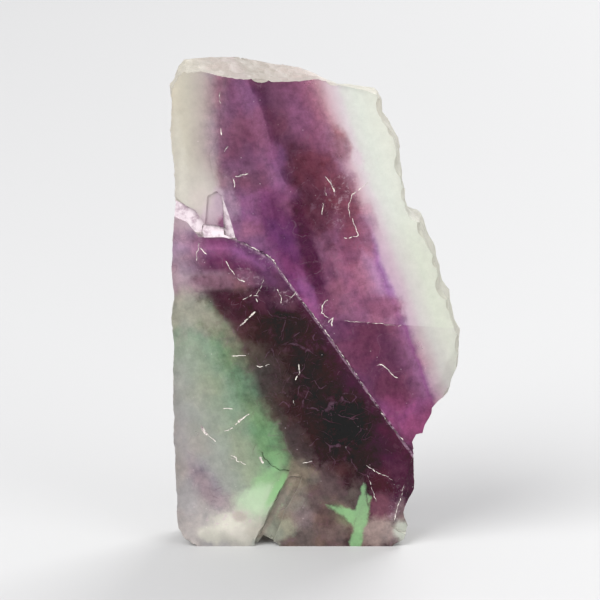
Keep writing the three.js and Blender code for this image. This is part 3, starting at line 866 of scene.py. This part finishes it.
# Fine cracks and nicks in the show face. Each is the width of its opening, its depth, its lean
# away from straight in, in degrees, and a run of places (x, z).
crackLook = {
    "seed": 41,
    "step": 0.42,  # a run is broken into blades of about this length
    "overlap": 0.14,
    "gap": 0.14,  # share of the blades left out
    "stray": 0.13,  # how far a blade strays from its run
    "widths": (0.4, 1.5),  # the least and most share of its width that a blade has
    "leanStray": 20,
    "before": -50.0,  # the surface is looked for from here, in front of the slab
    "cracks": [
        (0.17, 0.09, 35, [(8.8, 61.2), (7.4, 60.3), (5.8, 59.1)]),
        (0.13, 0.07, -30, [(5.8, 59.1), (5.1, 56.7), (6.1, 54.2), (6.8, 52.3)]),
        (0.14, 0.08, 40, [(6.8, 52.3), (5.7, 52.0), (4.5, 51.9)]),
        (0.24, 0.12, 30, [(1.6, 61.9), (2.4, 60.9), (3.0, 59.5)]),
        (0.10, 0.07, -30, [(1.1, 57.7), (1.0, 55.7)]),
        (0.09, 0.07, 30, [(1.3, 60.3), (1.6, 58.8)]),
        (0.28, 0.14, 40, [(-13.4, 61.8), (-12.4, 62.1), (-11.0, 62.4)]),
        (0.15, 0.08, 30, [(-13.4, 61.8), (-13.2, 60.3)]),
        (0.14, 0.08, 30, [(-15.5, 75.7), (-15.4, 73.8)]),
        (0.15, 0.08, 30, [(-15.3, 69.9), (-15.3, 68.9)]),
        (0.19, 0.10, 30, [(-14.3, 67.0), (-14.7, 66.2)]),
        (0.30, 0.15, 35, [(-12.3, 37.2), (-11.1, 38.5), (-9.9, 39.6)]),
        (0.17, 0.09, 35, [(-13.7, 32.2), (-11.2, 32.5)]),
        (0.15, 0.08, 35, [(-9.6, 30.5), (-8.7, 30.5), (-7.8, 30.8)]),
        (0.19, 0.10, -30, [(-2.9, 30.8), (-2.6, 29.5), (-3.3, 28.2)]),
        (0.15, 0.08, 30, [(-4.7, 26.1), (-4.1, 25.6)]),
        (0.12, 0.07, 30, [(-4.0, 25.0), (-3.4, 23.9)]),
        (0.55, 0.24, 30, [(-18.8, 20.3), (-18.2, 19.4), (-17.5, 18.7)]),
        (0.17, 0.09, 30, [(-19.0, 20.9), (-18.2, 19.4), (-16.6, 17.9)]),
        (0.14, 0.08, 30, [(-15.2, 23.4), (-13.7, 23.3)]),
        (0.48, 0.22, 35, [(-13.5, 20.4), (-12.4, 21.4), (-11.7, 22.0)]),
        (0.15, 0.08, 35, [(-13.9, 20.0), (-12.4, 21.4), (-11.0, 22.4)]),
        (0.14, 0.08, 30, [(-14.9, 19.7), (-13.7, 20.1)]),
        (0.42, 0.20, 30, [(-9.3, 15.2), (-8.7, 14.3)]),
        (0.16, 0.09, 30, [(-13.8, 15.6), (-13.2, 15.2), (-12.9, 14.7)]),
        (0.13, 0.07, 30, [(-13.8, 15.0), (-12.8, 14.5), (-11.5, 14.0)]),
        (0.17, 0.09, 30, [(1.8, 41.7), (1.0, 40.7), (0.9, 39.6), (2.0, 38.6)]),
        (0.19, 0.10, 30, [(2.0, 37.9), (2.9, 38.7), (2.5, 37.4)]),
        (0.15, 0.08, 35, [(9.8, 30.7), (10.8, 31.0), (11.8, 30.0), (13.2, 28.7)]),
        (0.08, 0.07, 20, [(4.6, 38.2), (7.5, 38.0), (10.4, 37.7), (13.7, 37.4)]),
        (0.14, 0.08, 30, [(-2.1, 14.3), (-0.6, 14.5)]),
        (0.13, 0.08, 30, [(8.4, 13.8), (9.6, 12.9), (11.0, 12.2), (12.6, 11.3)]),
        (0.10, 0.07, 30, [(8.4, 12.6), (9.2, 9.6), (10.0, 7.6)]),
        (0.10, 0.07, 30, [(-5.0, 42.3), (-4.0, 42.0), (-3.4, 42.6)]),
        (0.19, 0.10, 30, [(-8.2, 49.2), (-7.6, 48.8)]),
        (0.18, 0.10, 30, [(12.7, 3.8), (13.6, 7.0), (14.5, 10.4)]),
        (0.14, 0.08, 30, [(-14.6, 47.9), (-13.1, 45.4), (-11.6, 44.5)]),
        (0.16, 0.09, 30, [(-8.5, 45.0), (-8.8, 43.9), (-9.8, 42.4), (-9.6, 41.4)]),
        (0.12, 0.07, 30, [(-19.0, 51.0), (-19.3, 49.4), (-19.5, 47.6)]),
        (0.14, 0.08, 30, [(-19.0, 50.5), (-17.9, 49.2)]),
        (0.22, 0.12, 30, [(-7.8, 49.0), (-6.8, 48.2)]),
        (0.14, 0.08, 30, [(-6.4, 43.4), (-5.6, 42.2), (-5.8, 41.0)]),
        (0.12, 0.07, 30, [(-11.8, 41.6), (-10.4, 42.4), (-8.9, 42.2)]),
    ],
    # clear ones, which look dark
    "clearCracks": [
        (0.24, 0.5, 20, [(-8.9, 16.0), (-8.6, 15.3), (-8.1, 14.6), (-7.2, 13.7), (-6.0, 13.1),
                         (-4.5, 12.9)]),
        (0.12, 0.5, 20, [(-4.6, 12.0), (-6.9, 6.8), (-9.2, 1.6)]),
    ],
    # the lip of the split is bruised in short stretches all along
    "lip": [(-13.0, 51.55), (-9.6, 49.95), (-7.2, 48.45), (-2.8, 42.1), (1.6, 36.4), (7.0, 28.5),
            (12.1, 20.7), (14.7, 17.6)],
    "lipWidth": 0.17,
    "lipWidths": (0.4, 1.3),
    "lipDepth": 0.09,
    "lipGap": 0.2,  # share of the lip left whole
    "lipReach": 1.8,  # nicks along the lip reach this far from it
}


def flatPlanes(bm):
    # the planes of the polished faces and of the larger split faces, each of them once
    planes = []
    for face in sorted(bm.faces, key=lambda face: -face.calc_area()):
        if face.calc_area() < slabLook["flatArea"] * mm * mm:
            break
        isBroad = abs(face.normal.y) > slabLook["flatFacing"]
        if isBroad and not any(liesOn(face, plane) for plane in planes):
            planes.append((face.normal.copy(), face.verts[0].co.copy()))
    return planes


def liesOn(face, plane):
    normal, corner = plane
    reach = slabLook["flatTolerance"] * mm
    return all(abs((vertex.co - corner).dot(normal)) < reach for vertex in face.verts)


def isWhite(face):
    middle = face.calc_center_median() / mm
    if face.calc_area() > slabLook["mainArea"] * mm * mm or middle.y > slabLook["stepFront"]:
        return False
    places = slabLook["whiteSteps" if face.normal.y > slabLook["frontFacing"] else "whiteFacets"]
    return any(math.hypot(middle.x - x, middle.z - z) < near for x, z, near in places)


def isOnLip(face):
    # the step across the show face and its nicks are clear, unlike the milky rim
    middle = face.calc_center_median() / mm
    place = Vector((middle.x, middle.z))
    if face.normal.y > slabLook["frontFacing"]:
        return False
    for start, end in zip(crackLook["lip"], crackLook["lip"][1:]):
        nearest, share = intersect_point_line(place, start, end)
        if 0 <= share <= 1 and (place - nearest.xy).length < crackLook["lipReach"]:
            return True
    return False


def addBlade(bm, start, end, width, depth, lean):
    # a thin pointed blade along one stretch of a crack, leaning into the stone
    along = end - start
    length = along.length + 2 * crackLook["overlap"] * mm
    along.normalize()
    inward = Matrix.Rotation(math.radians(lean), 3, along) @ Vector((0, 1, 0))
    inward = (inward - along * inward.dot(along)).normalized()
    aside = inward.cross(along)
    turn = Matrix((along, aside, inward)).transposed().to_4x4()
    size = Matrix.Diagonal((length / 2, width * mm / 2, depth * mm, 1))
    place = Matrix.Translation((start + end) / 2)
    bmesh.ops.create_icosphere(bm, subdivisions=1, radius=1.0, matrix=place @ turn @ size)


def brokenRun(run, step):
    # places about a step apart along a run
    places = []
    for (x0, z0), (x1, z1) in zip(run, run[1:]):
        parts = max(1, round(math.hypot(x1 - x0, z1 - z0) / step))
        places += [(x0 + (x1 - x0) * k / parts, z0 + (z1 - z0) * k / parts)
                   for k in range(parts)]
    return places + [run[-1]]


def cutMarks(stone):
    surface = BVHTree.FromObject(stone, bpy.context.evaluated_depsgraph_get())
    scatter = random.Random(crackLook["seed"])

    def onFace(x, z):
        x += scatter.uniform(-1, 1) * crackLook["stray"]
        z += scatter.uniform(-1, 1) * crackLook["stray"]
        start = Vector((x, crackLook["before"], z)) * mm
        return surface.ray_cast(start, Vector((0, 1, 0)))[0]

    def stretches(run):
        places = [onFace(x, z) for x, z in brokenRun(run, crackLook["step"])]
        return zip(places, places[1:])

    bm = bmesh.new()
    stray = crackLook["leanStray"]
    for width, depth, lean, run in crackLook["cracks"]:
        for start, end in stretches(run):
            if scatter.random() > crackLook["gap"]:
                wide = width * scatter.uniform(*crackLook["widths"])
                addBlade(bm, start, end, wide, depth, lean + scatter.uniform(-stray, stray))
    for start, end in stretches(crackLook["lip"]):
        if scatter.random() > crackLook["lipGap"]:
            wide = crackLook["lipWidth"] * scatter.uniform(*crackLook["lipWidths"])
            addBlade(bm, start, end, wide, crackLook["lipDepth"], 0)
    for face in bm.faces:
        face.material_index = cracked
    for width, depth, lean, run in crackLook["clearCracks"]:
        for start, end in stretches(run):
            addBlade(bm, start, end, width, depth, lean)
    blades = objectFrom(bm, "blades", crystalMaterials)
    cut = stone.modifiers.new("marks", "BOOLEAN")
    cut.operation = "DIFFERENCE"
    cut.solver = "EXACT"
    cut.use_self = True
    cut.object = blades
    applyModifiers(stone)
    bpy.data.objects.remove(blades)


def chipRim(bm, height):
    # moves the points of the rim inwards by a height in millimetres, and keeps the flat faces flat
    moves = {}
    for vertex in bm.verts:
        rimSides = [face for face in vertex.link_faces if face.material_index == broken]
        if not rimSides or vertex.co.z < slabLook["footHeight"] * mm:
            continue
        outward = sum((face.normal * face.calc_area() for face in rimSides), Vector()).normalized()
        reach = slabLook["reach"] * min(edge.calc_length() for edge in vertex.link_edges)
        moves[vertex] = outward * -min(height(vertex.co / mm) * mm, reach)
    for vertex, move in moves.items():
        for face in vertex.link_faces:
            if face.material_index != broken:
                move = move - face.normal * move.dot(face.normal)
        vertex.co += move


def scoops(place):
    near = noise.voronoi(place / slabLook["scoopSize"])[0][0]
    return slabLook["scoopDepth"] * max(0.0, 1.0 - near * near * slabLook["scoopFall"])


def grains(place):
    rough = noise.fractal(place / slabLook["grainSize"], 0.6, 2.0, 3)
    return slabLook["grainDepth"] * max(0.0, 0.5 + 0.5 * rough)


def divideRim(bm):
    rimEdges = [edge for edge in bm.edges
                if any(face.material_index == broken for face in edge.link_faces)]
    bmesh.ops.subdivide_edges(bm, edges=rimEdges, cuts=1, use_grid_fill=True)
    bm.normal_update()


def makeSlab():
    bm = mergedCopy(slabLook["node"])
    bm.normal_update()
    planes = flatPlanes(bm)
    onPlane = bm.faces.layers.int.new("plane")  # which plane a face lies on, 0 for none
    for face in bm.faces:
        numbers = [n for n, plane in enumerate(planes, 1) if liesOn(face, plane)]
        face[onPlane] = numbers[0] if numbers else 0
        face.material_index = polished if numbers or isOnLip(face) else broken
        if isWhite(face):
            face.material_index = fractured
    stone = objectFrom(bm, "fluoriteSlab", crystalMaterials)
    cutMarks(stone)
    bm = bmesh.new()
    bm.from_mesh(stone.data)
    for height in (scoops, grains):
        divideRim(bm)
        chipRim(bm, height)
    fillFlats(bm, planes)
    for edge in bm.edges:
        kinds = {face.material_index for face in edge.link_faces}
        bend = edge.calc_face_angle(0)
        edge.smooth = len(kinds) == 1 and bend < math.radians(slabLook["sharpAngle"])
    for face in bm.faces:
        face.smooth = face.material_index == broken
    bm.to_mesh(stone.data)
    bm.free()
    return stone


def isInside(place, border):
    # a line from the place to the right crosses the border an odd number of times
    crossings = 0
    for first, second in border:
        if (first.y > place.y) != (second.y > place.y):
            share = (place.y - first.y) / (second.y - first.y)
            crossings += place.x < first.x + share * (second.x - first.x)
    return crossings % 2 == 1


def fillFlats(bm, planes):
    # the borders of the flat faces have moved within their planes, so the faces are filled anew
    onPlane = bm.faces.layers.int["plane"]
    for number, plane in enumerate(planes, 1):
        for kind in (polished, fractured):
            bm.verts.index_update()
            bm.edges.index_update()
            faces = [face for face in bm.faces
                     if face[onPlane] == number and face.material_index == kind]
            made = refill(bm, faces, *plane) if faces else []  # few planes have both kinds
            for face in made:
                face.material_index = kind
                face[onPlane] = number
    bm.normal_update()


def refill(bm, faces, normal, corner):
    across = normal.orthogonal().normalized()
    up = normal.cross(across)
    old = set(faces)
    border = {edge for face in faces for edge in face.edges
              if sum(near in old for near in edge.link_faces) == 1}
    border = sorted(border, key=lambda edge: edge.index)
    rim = sorted({vertex for edge in border for vertex in edge.verts},
                 key=lambda vertex: vertex.index)
    bmesh.ops.delete(bm, geom=faces, context="FACES_KEEP_BOUNDARY")
    numbers = {vertex: n for n, vertex in enumerate(rim)}
    flat = [Vector(((v.co - corner).dot(across), (v.co - corner).dot(up))) for v in rim]
    sides = [tuple(numbers[vertex] for vertex in edge.verts) for edge in border]
    points, _, triangles, cameFrom, _, _ = delaunay_2d_cdt(flat, sides, [], 0, joinGap)
    corners = [rim[sources[0]] if sources else
               bm.verts.new(corner + across * point.x + up * point.y)
               for point, sources in zip(points, cameFrom)]
    outline = [(flat[first], flat[second]) for first, second in sides]
    made = []
    for triangle in triangles:
        middle = sum((points[n] for n in triangle), Vector((0, 0))) / 3
        if isInside(middle, outline):
            face = bm.faces.new([corners[n] for n in triangle])
            face.normal_update()
            if face.normal.dot(normal) < 0:
                face.normal_flip()
            made.append(face)
    return made


slab = makeSlab()
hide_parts(slabLook["node"])
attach(slab, "root")
print("slab made:", len(slab.data.polygons), "faces")


studioLook = {
    "floorSize": 8.0,  # metres
    "floorColour": (74, 74, 74),
    "floorRoughness": 0.7,
    "worldColour": (92, 92, 93),
    "worldStrength": 0.72,
    # lamps: place in metres, size, power
    "keyLight": ((-0.74, -0.76, 1.00), 1.0, 22.5),
    "backLight": ((0.70, 1.30, 1.10), 1.0, 22.0),
    "fillLight": ((0.84, -0.80, 0.30), 0.8, 7.5),
    "aimAt": (0.0, 0.0, 0.04),
}

cameraLook = {
    "elevation": 12.0,  # degrees above level
    "azimuth": 0.0,
    "distance": 0.50,  # metres from the slab
    "lens": 182.5,
    "sensor": 36.0,
    "nearest": 0.01,
    "aimAt": (-2.6, 0.0, 40.4),  # millimetres
}


def makeFloor():
    bm = bmesh.new()
    bmesh.ops.create_grid(bm, x_segments=2, y_segments=2, size=studioLook["floorSize"] / 2)
    material, shader = newMaterial("paleFloor")
    shader.inputs["Base Color"].default_value = screen(*studioLook["floorColour"])
    shader.inputs["Roughness"].default_value = studioLook["floorRoughness"]
    objectFrom(bm, "floor", [material])


def addSoftbox(name):
    place, size, power = studioLook[name]
    light = bpy.data.lights.new(name, "AREA")
    light.shape = "SQUARE"
    light.size = size
    light.energy = power
    lamp = bpy.data.objects.new(name, light)
    lamp.location = place
    towards = Vector(studioLook["aimAt"]) - Vector(place)
    lamp.rotation_euler = towards.to_track_quat("-Z", "Y").to_euler()
    bpy.context.scene.collection.objects.link(lamp)


def makeStudio():
    world = bpy.data.worlds.new("studio")
    bpy.context.scene.world = world
    world.use_nodes = True
    sky = world.node_tree.nodes["Background"]
    sky.inputs["Color"].default_value = screen(*studioLook["worldColour"])
    sky.inputs["Strength"].default_value = studioLook["worldStrength"]
    for name in ("keyLight", "backLight", "fillLight"):
        addSoftbox(name)


def makeCamera():
    lens = bpy.data.cameras.new("camera")
    lens.lens = cameraLook["lens"]
    lens.sensor_width = cameraLook["sensor"]
    lens.clip_start = cameraLook["nearest"]
    camera = bpy.data.objects.new("camera", lens)
    level, rise = turnOf(cameraLook["elevation"])
    cosine, sine = turnOf(cameraLook["azimuth"])
    away = Vector((sine * level, -cosine * level, rise))
    aim = Vector(cameraLook["aimAt"]) * mm
    camera.location = aim + away * cameraLook["distance"]
    camera.rotation_euler = (-away).to_track_quat("-Z", "Y").to_euler()
    bpy.context.scene.collection.objects.link(camera)
    bpy.context.scene.camera = camera


makeFloor()
makeStudio()
makeCamera()
scene = bpy.context.scene
scene.view_settings.view_transform = "Standard"
scene.cycles.use_denoising = True
print("studio made")
